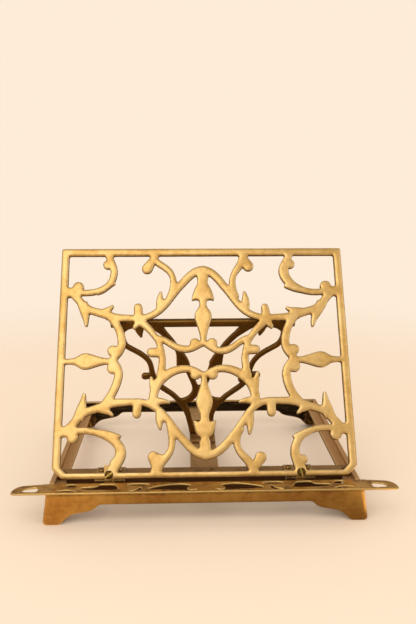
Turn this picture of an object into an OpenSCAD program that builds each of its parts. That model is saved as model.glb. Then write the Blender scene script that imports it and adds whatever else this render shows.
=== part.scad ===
// Folding book stand: pierced panel on two hinges, propped by a strut on a toothed rail.
// Millimetres, Z up, X across, the reader at -Y. Origin under the middle of the stand.

/* [Base] */
// Width over the side rails
base_w = 252; // [244:1:260]
// Depth from the front apron's face to the rear apron's face
base_depth = 211; // [204:1:222]
// Height of the side rails and the rear apron
base_h = 29; // [28:0.5:32]
// Thickness of aprons and upright parts of the rails
plate_t = 4; // [3.5:0.5:5]
// Height of the straight lower edge between the feet
apron_low = 17; // [15:0.5:18]
// Rounding of the feet's lower corners
foot_round = 2.2; // [1.5:0.1:3]
// Width of each foot on the table
foot_w = 8.5; // [7:0.5:11]
// How far a foot flares out sideways
foot_flare = 4; // [0:0.5:5]
// Width of the inner flange along each side rail
flange_w = 7; // [6.5:0.5:9]
// Thickness of that flange
flange_t = 3; // [2.5:0.5:4]
// Height of the flange's upper face
flange_top = 24; // [23.5:0.5:24.5]
// Side of the square corner blocks
block_w = 9; // [8:0.5:10]
// Height of the corner blocks
block_h = 11; // [10:0.5:12]

/* [Book ledge] */
// Length of the ledge
ledge_w = 306; // [296:1:316]
// Depth of the ledge
ledge_depth = 17; // [16:0.5:17.5]
// Thickness of the ledge
ledge_t = 1.8; // [1.6:0.1:2.2]
// How far the ledge stands out in front of the apron
ledge_overhang = 3; // [2:0.5:5]
// Length of the supporting tabs behind the apron
tab_w = 10; // [9:0.5:10.5]
// Thickness of those tabs
tab_t = 4; // [3:0.5:5]
// How deep a ledge screw reaches into the ledge
ledge_grip = 1; // [0.8:0.1:1.2]

/* [Crossbar and toothed rail] */
// Width of the crossbar that carries the hinges
crossbar_w = 15; // [14:0.5:18]
// Thickness of the crossbar
crossbar_t = 3; // [2.5:0.5:3.5]
// Height of the lip that hangs below the crossbar's front edge
lip_h = 14; // [10:0.5:15]
// Thickness of that lip
lip_t = 3; // [2.5:0.5:3.5]
// From the hinge axis back to the crossbar's front edge
crossbar_gap = 4.5; // [4.2:0.1:5.5]
// Width of the toothed rail
rail_w = 24; // [22:1:28]
// Thickness of the toothed rail
rail_t = 7; // [6:0.5:8]
// Depth of a tooth
tooth_h = 2; // [1.5:0.25:2]
// Distance from tooth to tooth
tooth_pitch = 14; // [13.5:0.5:16]
// Flat land on top of a tooth
tooth_land = 1.5; // [1:0.5:2]

/* [Panel] */
// Width of the panel
panel_w = 250; // [242:1:252]
// From the hinge axis up the panel to its upper edge
panel_h = 201.5; // [193:0.5:209]
// From the hinge axis up the panel to its lower edge
panel_low = 1; // [0.5:0.1:1.5]
// Thickness of the panel
panel_t = 5; // [4:0.5:6]
// Width of the panel's upper bar and side bars
bar_w = 6.4; // [5.5:0.1:7]
// Height of the panel's slim lower bar
low_bar_h = 4.1; // [3.6:0.1:5]
// Cut across the two lower corners
corner_cut = 8; // [6:0.5:10]
// Cut across the lower corners inside the frame
inner_cut = 5; // [4:0.5:6]
// Reading angle of the panel from the table
panel_angle = 60.5; // [58:0.5:63]
// Diameter of the bosses round the panel screws
boss_d = 7.6; // [7.4:0.2:9.4]

/* [Hinges] */
// From the front apron's face back to the hinge axis
hinge_setback = 26; // [25:0.5:28]
// Height of the hinge axis
hinge_z = 25.3; // [25.1:0.1:25.6]
// From the hinge axis to the back of the panel
hinge_drop = 4.5; // [4.5:0.1:5.2]
// Distance between the two hinges
hinge_span = 157; // [150:1:162]
// Outer diameter of the hinge barrels
barrel_d = 6.8; // [6.4:0.2:7]
// Diameter of the hinge pins
pin_d = 3; // [2.6:0.1:3.2]
// Length of a hinge
hinge_w = 24; // [22:1:26]
// Length of the middle knuckle
knuckle_w = 8; // [7:0.5:9]
// Thickness of the leaf on the crossbar
base_leaf_t = 1.5; // [1.2:0.1:1.7]
// Thickness of the leaf on the panel
panel_leaf_t = 2; // [1.8:0.1:2.2]
// Height of the leaf on the panel
panel_leaf_h = 12; // [11:0.5:13]
// Width of the leaf on the panel
panel_leaf_w = 9; // [8.5:0.5:11]
// Height of the panel screws above the hinge axis, along the panel
panel_screw_y = 3.6; // [3.4:0.1:3.8]

/* [Strut] */
// From the hinge axis up the panel to the strut's axis
strut_pivot = 134.5; // [132:0.5:136]
// Angle between strut and panel in use
strut_angle = 49; // [47:0.5:51]
// Thickness of the strut
strut_t = 4; // [3:0.5:4.5]
// Length of the strut's top bar
strut_bar_w = 151; // [149:1:152]
// Height of the top bar
strut_bar_h = 6.4; // [5.8:0.2:6.6]
// Thickness of the top bar
strut_bar_t = 5; // [4.6:0.2:5.2]
// From the back of the panel to the strut's axis
lug_axis = 4.5; // [4.5:0.1:5]
// Thickness of a lug
lug_t = 5; // [4:0.5:6]
// Diameter of the rounded end of a lug
lug_d = 8; // [7:0.5:8.5]
// Diameter of the strut's pins
strut_pin_d = 3; // [2.6:0.1:3.2]
// Length of a strut pin inside the bar
strut_pin_grip = 8; // [6:0.5:10]
// Width of the strut's foot
foot_bar_w = 25; // [23:1:28]
// Thickness of the strut's foot
foot_bar_t = 4.6; // [4.2:0.2:5]

/* [Screws] */
// Diameter of the screws
screw_d = 3; // [2.6:0.1:3]
// Diameter of the screw heads
head_d = 5.4; // [5:0.2:5.6]
// Height of the screw heads
head_h = 1.8; // [1.5:0.1:2]
// Diameter of the slotted heads on the panel's face
face_head_d = 7; // [6.4:0.2:7.4]
// Height of the slotted heads on the panel's face
face_head_h = 1.6; // [1.2:0.1:2]
// Diameter of the small screws that hold the lugs
lug_screw_d = 2; // [1.8:0.1:2.2]

/* [Fits] */
// Radial clearance of a pin or screw in its hole
bore_clear = 0.05; // [0.03:0.01:0.08]
// Gap between the strut's foot and the tooth it stands in
foot_gap = 0.3; // [0.25:0.05:0.4]
// Gap at the ends of the knuckles and of the strut's bar
side_gap = 0.4; // [0.3:0.05:0.5]
// Gap round a middle knuckle
knuckle_gap = 0.5; // [0.4:0.05:0.6]

/* [Hidden] */
curve_steps = 7;
round_fn = 48;
total_depth = base_depth + ledge_overhang;
ledge_y = -total_depth / 2;
base_y = ledge_y + ledge_overhang;
rear_y = base_y + base_depth;
rail_x = base_w / 2 - plate_t;
front_h = base_h - ledge_t;
hinge_y = base_y + hinge_setback;
hinge_x = hinge_span / 2;
crossbar_y = hinge_y + crossbar_gap;
crossbar_z = flange_top;
leaf_z = crossbar_z + crossbar_t;
fret_x = panel_w / 250;
fret_y = panel_h / 201.5;
fret_mid = 100 * fret_y;
ledge_x = ledge_w / 306;
lug_x = strut_bar_w / 2 + side_gap;
axis_z_local = hinge_drop - lug_axis;
axis_y = hinge_y + strut_pivot * cos(panel_angle) - axis_z_local * sin(panel_angle);
axis_z = hinge_z + strut_pivot * sin(panel_angle) + axis_z_local * cos(panel_angle);
lean = panel_angle + strut_angle;
tooth_z = flange_top - tooth_h;
tooth_run = tooth_pitch - tooth_land;
foot_z = tooth_z + foot_gap + 2;
strut_len = (axis_z - foot_z) / sin(lean);
foot_y = axis_y - strut_len * cos(lean);
tooth_y = foot_y + foot_bar_t / 2 + foot_gap;
rail_y = crossbar_y + lip_t;
screw_row = crossbar_y + crossbar_w / 2;
leaf_row = screw_row + 1;
tab_x = rail_x - 1 - tab_w / 2;

// Curves

function cubic(p, t) = p[0] * pow(1 - t, 3) + p[1] * 3 * t * pow(1 - t, 2)
  + p[2] * 3 * t * t * (1 - t) + p[3] * pow(t, 3);
function slope(p, t) =
  (p[1] - p[0]) * pow(1 - t, 2) + (p[2] - p[1]) * 2 * t * (1 - t) + (p[3] - p[2]) * t * t;
function spans(c) = (len(c) - 1) / 3;
function span(c, k) = [c[3 * k], c[3 * k + 1], c[3 * k + 2], c[3 * k + 3]];
function which(c, s) = min(floor(s), spans(c) - 1);
function on_curve(c, s) = cubic(span(c, which(c, s)), s - which(c, s));
function heading(c, s) = let(d = slope(span(c, which(c, s)), s - which(c, s))) d / norm(d);
function across(c, s) = let(d = heading(c, s)) [-d[1], d[0]];
function mixed(w, s, n) =
  let(x = s / n * (len(w) - 1), i = min(floor(x), len(w) - 2)) w[i] + (w[i + 1] - w[i]) * (x - i);
function path(c) = let(n = spans(c), m = n * curve_steps) [for (i = [0:m]) on_curve(c, i * n / m)];
function backwards(c) = [for (i = [len(c) - 1:-1:0]) c[i]];
function flip(c) = [for (p = backwards(c)) [-p[0], p[1]]];
function under(c) = [for (p = backwards(c)) [p[0], -p[1]]];
function turned(c) = [for (p = c) [$side * p[0], $level * p[1]]];
function fit(c) = [for (p = c) [p[0] * fret_x, p[1] * fret_y]];
// Twice the area inside a loop, positive when it runs anticlockwise
function winding(c) = [for (i = 0, a = 0; i <= len(c); a = a + loop_cross(c, i), i = i + 1) a][len(c)];
function loop_cross(c, i) = let(p = c[i % len(c)], q = c[(i + 1) % len(c)]) p[0] * q[1] - p[1] * q[0];

// A closed curve through all the points of a loop
function rounded(c) = let(n = len(c)) [
  for (i = [0:n - 1], t = [0:0.25:0.75]) through(c[(i + n - 1) % n], c[i], c[(i + 1) % n], c[(i + 2) % n], t)
];
function through(a, b, c, d, t) =
  b + ((c - a) * t + (2 * a - 5 * b + 4 * c - d) * t * t + (3 * b - a - 3 * c + d) * t * t * t) / 2;

// Which quarter a piece of ornament is drawn in
$side = 1;
$level = 1;

// A filled loop of points, always drawn anticlockwise
module shape(points) {
  placed = turned(points);
  polygon(winding(placed) > 0 ? placed : backwards(placed));
}

// A band of changing width along a curve, with a round end where asked for
module stroke(c, w, round_end = false) {
  n = spans(c);
  m = n * curve_steps;
  e = on_curve(c, n);
  d = heading(c, n);
  r = w[len(w) - 1] / 2;
  one = [for (i = [0:m]) on_curve(c, i * n / m) + across(c, i * n / m) * mixed(w, i * n / m, n) / 2];
  two = [for (i = [m:-1:0]) on_curve(c, i * n / m) - across(c, i * n / m) * mixed(w, i * n / m, n) / 2];
  tip = round_end ? [for (a = [22.5:22.5:157.5]) e + r * (d * sin(a) + [-d[1], d[0]] * cos(a))] : [];
  shape(concat(one, tip, two));
}

module line_stroke(a, b, w, round_end = false) {
  stroke([a, a + (b - a) / 3, a + (b - a) * 2 / 3, b], w, round_end);
}

module both_sides() {
  for ($side = [-1, 1]) children();
}

module upside_down() {
  $level = -1;
  children();
}

// Screws

module screw(d, l, hd, hh) {
  translate([0, 0, -l]) cylinder(d = d, h = l, $fn = round_fn);
  difference() {
    cylinder(d = hd, h = hh, $fn = round_fn);
    translate([-hd, -0.4, hh * 0.55]) cube([2 * hd, 0.8, hh]);
  }
}

module screw_hole(d, l) {
  translate([0, 0, -l]) cylinder(d = d + 2 * bore_clear, h = l + 1, $fn = round_fn);
}

// Base frame

// Lower edge from a foot at the end of a plate to its straight middle, half of it
function foot_edge(half) = path([
  [half - foot_w, 0], [half - foot_w - 5.5, 2], [half - foot_w - 5.5, 8], [half - foot_w - 15, 9.5],
  [half - foot_w - 23, 11], [half - foot_w - 28, 11.5], [half - foot_w - 30.5, 14.5],
  [half - foot_w - 31.5, 16], [half - foot_w - 33.5, apron_low], [half - foot_w - 36, apron_low]
]);
// Lower outer corner of a foot
function foot_corner(half, flare) = path([
  [half + flare * 0.93, foot_round], [half + flare * 0.98, foot_round / 2],
  [half + flare - foot_round / 3, 0], [half + flare - foot_round, 0]
]);
function plate_half(half, h, flare) = concat([[half, h]], foot_corner(half, flare), foot_edge(half));
function plate_outline(half, h, flare) = concat(plate_half(half, h, flare), flip(plate_half(half, h, flare)));

module apron_plate(h) {
  rotate([90, 0, 0]) linear_extrude(plate_t) polygon(plate_outline(base_w / 2, h, foot_flare));
}

block_z = 5;
screw_low = block_z + 3.2;
screw_high = block_z + block_h - 3.2;

// Places of the screws that go through the corner blocks into the aprons
module apron_screw_places() {
  for (s = [-1, 1]) {
    translate([s * (rail_x - block_w / 2), base_y + plate_t + block_w, screw_low])
      rotate([-90, 0, 0]) children();
    translate([s * (rail_x - block_w / 2), rear_y - plate_t - block_w, screw_low])
      rotate([90, 0, 0]) children();
  }
}

// Places of the screws that go through the corner blocks into the side rails
module rail_side_places() {
  for (s = [-1, 1], y = [base_y + plate_t + block_w / 2, rear_y - plate_t - block_w / 2])
    translate([s * (rail_x - block_w), y, screw_high]) rotate([0, -s * 90, 0]) children();
}

block_screw_l = block_w + 2.6;

module ledge_screw_places() {
  for (x = [-tab_x, 0, tab_x])
    translate([x, base_y + plate_t + tab_w / 2, front_h - tab_t]) rotate([180, 0, 0]) children();
}

ledge_screw_l = tab_t + ledge_grip;

module front_apron() {
  color("#a8732e") difference() {
    union() {
      translate([0, base_y + plate_t, 0]) apron_plate(front_h);
      for (x = [-tab_x, 0, tab_x])
        translate([x - tab_w / 2, base_y + plate_t - 0.5, front_h - tab_t]) cube([tab_w, tab_w - 0.5, tab_t]);
    }
    apron_screw_places() screw_hole(screw_d, block_screw_l + 0.2);
    ledge_screw_places() screw_hole(screw_d, ledge_screw_l + 1);
  }
}

module rear_apron() {
  color("#8b5a14") difference() {
    translate([0, rear_y, 0]) apron_plate(base_h);
    apron_screw_places() screw_hole(screw_d, block_screw_l + 0.2);
    rail_screw_places() screw_hole(screw_d, rail_screw_l);
    rail_screw_places() cylinder(d = head_d + 2 * bore_clear, h = 3, $fn = round_fn);
  }
}

rail_half = base_depth / 2 - plate_t;
rail_mid = (base_y + rear_y) / 2;
flange_y = ledge_y + ledge_depth + 2;

module side_rail(s) {
  difference() {
    union() {
      difference() {
        translate([s * (base_w / 2 - plate_t / 2) - plate_t / 2, rail_mid, 0]) rotate([90, 0, 90])
          linear_extrude(plate_t) polygon(plate_outline(rail_half, base_h, 0));
        translate([s * base_w / 2 - 10, ledge_y - 5, front_h]) cube([20, ledge_depth + 5 + 0.3, 10]);
      }
      translate([s * (rail_x - flange_w / 2) - flange_w / 2 - 0.5, flange_y, flange_top - flange_t])
        cube([flange_w + 1, rear_y - plate_t - flange_y, flange_t]);
    }
    rail_side_places() screw_hole(screw_d, block_screw_l + 0.2);
    crossbar_screw_places() screw_hole(screw_d, crossbar_screw_l + 3);
  }
}

module left_side_rail() {
  color("#97693c") side_rail(-1);
}

module right_side_rail() {
  color("#97693c") side_rail(1);
}

module corner_blocks() {
  color("#7d5526") difference() {
    for (s = [-1, 1], y = [base_y + plate_t, rear_y - plate_t - block_w])
      translate([s * (rail_x - block_w / 2) - block_w / 2, y, block_z]) cube([block_w, block_w, block_h]);
    apron_screw_places() screw_hole(screw_d, block_screw_l);
    rail_side_places() screw_hole(screw_d, block_screw_l);
  }
}

module corner_screws() {
  color("#c9a24e") {
    apron_screw_places() screw(screw_d, block_screw_l, head_d, head_h);
    rail_side_places() screw(screw_d, block_screw_l, head_d, head_h);
  }
}

// Book ledge

// Right half of the ledge's outline, from the front edge round the ear to the rear edge
function ledge_ear() = let(e = ledge_w / 2, d = ledge_depth) path([
  [e - 4, 0], [e - 1, 0], [e, 1], [e, 3], [e, 9], [e - 3.5, d - 2.6], [e - 11, d - 2.2],
  [e - 17, d - 1.8], [e - 22, d - 0.4], [e - 28, d]
]);
// Openings of the right half, measured from the middle and from the front edge
lens_inner = [
  [46.5, 6.3], [41, 9.6], [34, 12], [27, 13.5], [20, 13.7], [14.5, 12.6], [11.6, 10.8], [13.4, 9.3],
  [15.2, 7.4], [14.6, 4.8], [11.4, 3.5], [8.8, 4.3], [7.2, 3.4], [7.4, 1.8], [14, 1.6], [21, 1.7],
  [22.2, 3.2], [29, 3.9], [37, 4.4], [44, 5]
];
lens_outer = [
  [68.5, 6.4], [70.5, 9.4], [71.6, 12.6], [74, 14.6], [79.5, 15], [85, 14.5], [86.6, 12], [89.5, 10.8],
  [94, 10.4], [98.5, 9.8], [100.6, 8.2], [97.5, 6.6], [90, 5.6], [80, 5.1], [72.5, 5.4]
];
leaf_gap = [
  [51.4, 8.6], [53, 8.8], [54.6, 6], [57.5, 4], [61.5, 2.9], [64.6, 2.4], [64, 1.6], [58.5, 1.6],
  [54.4, 2.4], [52, 4.4], [51, 6.6]
];
rear_slit = [
  [44.5, 13.4], [48.5, 14.8], [54, 15.2], [59.5, 14.8], [64, 12.8], [59, 12], [53.5, 11.8], [48.5, 12.2]
];
side_slit = [
  [102.5, 11.4], [104, 14.2], [107, 15.2], [110.5, 14.8], [112, 13], [110.5, 11], [107, 10.4], [104.2, 10.5]
];
front_slit = [
  [101.5, 2.2], [104.5, 4.6], [109, 5.9], [115, 5.4], [119.5, 4], [113.5, 3.5], [107.5, 2.6], [104, 1.8]
];
ear_slot = [
  [133.2, 3.6], [133, 7], [133.6, 10.4], [139, 10.2], [143.4, 8.4], [144.8, 5.6], [143, 3.6], [138, 3.2]
];
ledge_gaps = [lens_inner, lens_outer, leaf_gap, rear_slit, side_slit, front_slit, ear_slot];

function along(c) = [for (p = c) [p[0] * ledge_x, p[1] * ledge_depth / 17]];

module book_ledge() {
  color("#a07840") difference() {
    translate([0, ledge_y, front_h]) linear_extrude(ledge_t) difference() {
      shape(concat(ledge_ear(), flip(ledge_ear())));
      both_sides() for (c = ledge_gaps) shape(rounded(along(c)));
    }
    ledge_screw_places() screw_hole(screw_d, ledge_screw_l + 0.15);
  }
}

module ledge_screws() {
  color("#c9a24e") ledge_screw_places() screw(screw_d, ledge_screw_l, head_d, head_h);
}

// Crossbar and toothed rail

module crossbar_screw_places() {
  for (x = [-rail_x + flange_w / 2, -rail_w / 4, rail_w / 4, rail_x - flange_w / 2])
    translate([x, screw_row, leaf_z]) children();
}

crossbar_screw_l = crossbar_t + 2.4;
lip_x = rail_x - flange_w - 0.5;

module leaf_screw_places() {
  for (s = [-1, 1], k = [-1, 1])
    translate([s * hinge_x + k * 8, leaf_row, leaf_z + base_leaf_t]) children();
}

leaf_screw_l = base_leaf_t + crossbar_t - 0.3;

module hinge_crossbar() {
  color("#97693c") difference() {
    union() {
      translate([-rail_x, crossbar_y, crossbar_z]) cube([2 * rail_x, crossbar_w, crossbar_t]);
      translate([-lip_x, crossbar_y, crossbar_z - lip_h]) cube([2 * lip_x, lip_t, lip_h + crossbar_t / 2]);
    }
    crossbar_screw_places() screw_hole(screw_d, crossbar_screw_l);
    leaf_screw_places() screw_hole(screw_d, leaf_screw_l + 1);
  }
}

module crossbar_screws() {
  color("#c9a24e") crossbar_screw_places() screw(screw_d, crossbar_screw_l, head_d, head_h);
}

module rail_screw_places() {
  for (x = [-rail_w / 4, rail_w / 4])
    translate([x, rear_y - head_h, flange_top - rail_t / 2]) rotate([-90, 0, 0]) children();
}

rail_screw_l = plate_t - head_h + 8;
teeth = [-2, -1, 0, 1, 2];
tooth_line = concat(
  [[tooth_y + (teeth[0] - 1) * tooth_pitch + tooth_land, flange_top]],
  [for (k = teeth, j = [0, 1, 2])
    [tooth_y + k * tooth_pitch + (j == 2 ? tooth_land : 0), j == 0 ? tooth_z : flange_top]]
);

module toothed_rail() {
  low = flange_top - rail_t;
  end = rear_y - plate_t;
  color("#8f6436") difference() {
    translate([-rail_w / 2, 0, 0]) rotate([90, 0, 90]) linear_extrude(rail_w)
      polygon(concat([[rail_y, low], [rail_y, flange_top]], tooth_line, [[end, flange_top], [end, low]]));
    crossbar_screw_places() screw_hole(screw_d, crossbar_screw_l + 0.4);
    rail_screw_places() screw_hole(screw_d, rail_screw_l + 0.4);
  }
}

module rail_screws() {
  color("#c9a24e") rail_screw_places() screw(screw_d, rail_screw_l, head_d, head_h);
}

// Hinges

module on_axis() {
  translate([0, hinge_y, hinge_z]) children();
}

module on_panel() {
  on_axis() rotate([panel_angle, 0, 0]) children();
}

module bar_x(d, x0, x1) {
  translate([x0, 0, 0]) rotate([0, 90, 0]) cylinder(d = d, h = x1 - x0, $fn = round_fn);
}

// Leaf on the crossbar, with a knuckle at each end
module base_leaf(s) {
  top = leaf_z + base_leaf_t - hinge_z;
  inner = knuckle_w / 2 + side_gap;
  back = crossbar_gap + crossbar_w - 1;
  color("#d8c08a") difference() {
    translate([s * hinge_x, 0, 0]) on_axis() union() {
      for (k = [-1, 1]) {
        bar_x(barrel_d, k > 0 ? inner : -hinge_w / 2, k > 0 ? hinge_w / 2 : -inner);
        translate([k > 0 ? inner : -hinge_w / 2, 0, top - base_leaf_t])
          cube([hinge_w / 2 - inner, crossbar_gap + 2, base_leaf_t]);
      }
      translate([-hinge_w / 2, barrel_d / 2 + knuckle_gap, top - base_leaf_t])
        cube([hinge_w, back - barrel_d / 2 - knuckle_gap, base_leaf_t]);
    }
    translate([s * hinge_x, 0, 0]) on_axis() bar_x(pin_d + 2 * bore_clear, -hinge_w, hinge_w);
    leaf_screw_places() screw_hole(screw_d, leaf_screw_l);
  }
}

module left_base_leaf() {
  base_leaf(-1);
}

module right_base_leaf() {
  base_leaf(1);
}

module leaf_screws() {
  color("#d8c08a") leaf_screw_places() screw(screw_d, leaf_screw_l, head_d, head_h);
}

module hinge_pins() {
  color("#b8b0a0") on_axis() for (s = [-1, 1])
    translate([s * hinge_x, 0, 0]) bar_x(pin_d, -hinge_w / 2 - 0.4, hinge_w / 2 + 0.4);
}

module panel_screw_places() {
  on_panel() for (s = [-1, 1])
    translate([s * hinge_x, panel_screw_y, hinge_drop + panel_t]) children();
}

panel_screw_l = panel_t + panel_leaf_t - 0.1;

// Leaf behind the panel, with the middle knuckle
module panel_leaf(s) {
  color("#d8c08a") difference() {
    on_panel() translate([s * hinge_x, 0, 0]) difference() {
      union() {
        bar_x(barrel_d, -knuckle_w / 2, knuckle_w / 2);
        translate([-knuckle_w / 2, 0, hinge_drop - panel_leaf_t])
          cube([knuckle_w, panel_leaf_h, panel_leaf_t]);
        translate([-panel_leaf_w / 2, barrel_d / 2 + 2, hinge_drop - panel_leaf_t])
          cube([panel_leaf_w, panel_leaf_h - barrel_d / 2 - 2, panel_leaf_t]);
      }
      bar_x(pin_d + 2 * bore_clear, -hinge_w, hinge_w);
    }
    panel_screw_places() screw_hole(screw_d, panel_screw_l + 0.3);
  }
}

module left_panel_leaf() {
  panel_leaf(-1);
}

module right_panel_leaf() {
  panel_leaf(1);
}

module panel_screws() {
  color("#b08a40") panel_screw_places() rotate([0, 0, 35])
    screw(screw_d, panel_screw_l, face_head_d, face_head_h);
}

// Panel fretwork, measured from the panel's middle. It is hand work, so the four quarters differ:
// in these lists they stand in the order upper left, upper right, lower left, lower right.

// Scroll from the hub on a side bar to the upper or lower bar, with its widths and its knob
corner_scroll = [
  [[111, 61], [105, 60.2], [98, 60], [92, 62], [84, 64.5], [79, 70], [78.4, 79], [78, 86],
    [83, 89], [83.4, 98]],
  [[111, 61], [105, 60], [98, 59.5], [92, 61], [82, 63.5], [73.5, 70], [72.6, 79], [72, 86],
    [77.5, 89], [78.5, 98]],
  [[111, 61], [105, 60], [98, 59.5], [91, 61.5], [81, 64.5], [70.5, 69], [69.4, 78], [68.9, 84],
    [74.6, 88], [77.6, 97]],
  [[111, 61], [105, 60], [98, 59.5], [92, 61], [82, 63.5], [74.5, 70], [74.2, 79], [74, 85],
    [77.8, 88], [78.5, 97]]
];
corner_width = [[5, 4.8, 6, 6.4], [5, 5, 8.8, 5.8], [5, 5, 8.6, 8.4], [5, 4.8, 7, 9.2]];
corner_knob = [[84.4, 86.6], [78.8, 86.4], [74.2, 87.2], [80.4, 86]];
corner_tip = [[77.4, 69.4], [72.6, 66], [69.6, 65.6], [73.4, 67.2]];
// Thorn above the arm and spike below it
arm_thorn = [[78.6, 48.4], [73.4, 46], [76.5, 48.2], [78, 48]];
spike_tip = [[101.4, 29.6], [95.8, 28], [101, 29], [102.2, 30]];
// Bud where the arms meet
bud_tip = [[56.8, 46.4], [54.4, 46], [56.8, 46.8], [56.4, 46.6]];
bud_width = [7.2, 6.2, 7, 7];
// Arch to the middle line, with a thorn
arch = [
  [[58, 36.5], [50, 36.5], [44, 39], [38, 44], [31, 50], [26, 60], [19.5, 67], [13, 74],
    [8, 81.5], [-1.5, 81.6]],
  [[58, 36.5], [50, 36.5], [43.5, 38], [37, 43], [30, 48.5], [25, 59], [18.5, 66.5], [13, 74],
    [8, 81.5], [-1.5, 81.6]],
  [[58, 36.5], [50, 36.5], [44, 39], [38, 44], [31, 50], [26, 60], [19.5, 67], [13, 74],
    [8, 81.5], [-1.5, 81.6]],
  [[58, 36.5], [50, 36.5], [44, 39], [38.5, 45], [33, 51.5], [28, 61], [21.5, 68], [15, 75.5],
    [9, 82], [-1.5, 82]]
];
arch_thorn = [[36.9, 61], [36.6, 61], [36.9, 60.4], [37.2, 65]];
// Hook from the arch to the bar, with its knob
hook = [
  [[29, 55], [25.5, 63], [25, 70], [26.8, 75.5], [29.6, 84], [38.5, 85.5], [43, 92]],
  [[29, 55], [26, 63], [25.5, 70], [27.5, 76], [30.5, 84], [37, 86], [37, 98]],
  [[29, 55], [27.5, 63], [26.6, 70], [28, 76], [30, 83], [39.5, 87], [41, 98]],
  [[30.5, 59], [26.5, 64], [25.5, 70], [27, 76], [30, 84], [39.5, 86], [39.5, 98]]
];
hook_knob = [[49.2, 82.8], [41, 84.8], [42.6, 82.4], [45.8, 83.8]];
hook_neck = [[44, 91], [38.4, 91], [41, 91], [41.4, 91]];
// Where a hook grows out of the bar
hook_root = [[43, 98], [37, 98], [41, 98], [39.5, 98]];
// Scroll from the arm down to the spindle
side_scroll = [
  [[83, 40], [75, 33], [70.4, 24], [70.4, 14], [70.4, 8], [74, 3], [80, -1.5]],
  [[83, 40], [75, 33], [71, 24], [70.8, 14], [70.6, 8], [74, 3], [80, -1.5]],
  [[85, 40], [79, 33], [74, 24], [72.6, 14], [72, 8], [75, 3], [80, -1.5]],
  [[83, 40], [75, 33], [70.6, 24], [70.4, 14], [70.4, 8], [74, 3], [80, -1.5]]
];

function quarter() = ($level < 0 ? 2 : 0) + ($side > 0 ? 1 : 0);
function spot(p) = [p[0] * fret_x, p[1] * fret_y];

module fret_quarter() {
  q = quarter();
  knob = corner_knob[q];
  tip = corner_tip[q];
  thorn = arm_thorn[q];
  spike = spike_tip[q];
  stroke(fit(corner_scroll[q]), corner_width[q]);
  line_stroke(spot(knob - [5, 0.2]), spot(knob), [6, 7.8], true);
  stroke(fit([[93, 60.6], [87, 61.8], tip + [7, -3.4], tip]), [4, 4, 2]);
  line_stroke(spot([111, 59]), spot([109.4, 65.6]), [8, 9.4], true);
  line_stroke(spot([122, 61]), spot([107.5, 60.5]), [9, 7.6]);
  stroke(fit([[114, 60], [108, 54], [105, 47], [97, 44], [91, 42], [86, 41], [80, 38.5],
    [74, 36.2], [64, 37], [54, 36.5]]), [7, 6, 7, 4.8]);
  stroke(fit([[105.5, 51], [103.5, 45], spike + [0.6, 10], spike]), [9, 7.8, 2]);
  stroke(fit([[89, 41.5], [84, 43], thorn + [3.5, -3.9], thorn]), [6.5, 5.4, 1.8]);
  line_stroke(spot([56, 35]), spot(bud_tip[q]), [7.4, bud_width[q]], true);
  stroke(fit(arch[q]), [5.2, 5.6, 6.4, 6.8]);
  stroke(fit([[36.6, 45.4], [38.2, 50], arch_thorn[q] + [0.9, -5], arch_thorn[q]]), [8, 6.2, 1.6]);
  stroke(fit(hook[q]), [6.4, 5, q == 0 ? 5.4 : 7.6]);
  line_stroke(spot(hook_root[q] - [0, 8]), spot(hook_root[q]), [6.4, 8.2]);
  line_stroke(spot(hook_neck[q]), spot(hook_knob[q]), [6, 9.2], true);
  line_stroke(spot([8.4, 10.8]), spot([7.4, 13.4]), [7, 9], true);
  stroke(fit(side_scroll[q]), [6.4, 6.8, 5]);
  line_stroke(spot([72.5, 7]), spot([78, 7.6]), [8, 9], true);
}

// What only the upper half has
module fret_upper() {
  rise = $side > 0 ? 2 : 0;
  dip = $side > 0 ? 1.6 : 0;
  stroke(fit([[39, 18.5], [31, 17.5 - dip / 2], [26, 9 - dip], [16, 8.6 - dip], [9, 8.3 - dip], [5, 12.2],
    [-1.5, 14.8]]), [4.6, 5.8, 4.2]);
  stroke(fit([[58, 36], [51.5, 32], [45, 25.6], [40, 17.4], [37, 12], [35.6, 6],
    [35.5, -2]]), [7, 4.6, 5.6]);
  line_stroke(spot([53.5, 36.5]), spot([60.6, 27.2]), [9.6, 2.2]);
  line_stroke(spot([36.5, 6 + rise]), spot([45, 6 + rise]), [8, 7.4], true);
}

// What only the lower half has, written as if it stood above the middle
module fret_lower() {
  thorn = $side > 0 ? [46, 11.4] : [45.2, 15.2];
  stroke(fit([[43.6, 38], [43.4, 29], [41, 21.5], [35.4, 16.6], [29, 11], [23, 8.6], [16, 8.6],
    [9, 8.3], [5, 12.2], [-1.5, 14.8]]), [6.8, 7.6, 5.8, 4.2]);
  stroke(fit([[35.5, -2], [35.5, 5], [36, 9], [37.6, 16]]), [5.6, 6.4]);
  stroke(fit([[42, 27], [43.2, 23], thorn + [-1.2, 5.4], thorn]), [7.4, 5.8, 1.8]);
  stroke(fit([[45, 37.2], [39, 35.6], [34, 36.2], [29.8, 37.4]]), [6.4, 5.2, 2.2], true);
  // The left bud is a broad web, filled up to its hook
  if ($side < 0) line_stroke(spot([40, 93]), spot([38.2, 84.8]), [9, 10], true);
}

// Half of the spindle that joins a side bar to the ornament
spindle_edge = [
  [122, 2.4], [116, 2], [112, 1.8], [109, 3.4], [106, 5.5], [104, 6.8], [101, 6.8],
  [95, 6.8], [90, 2.2], [77, 1.8]
];
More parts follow.
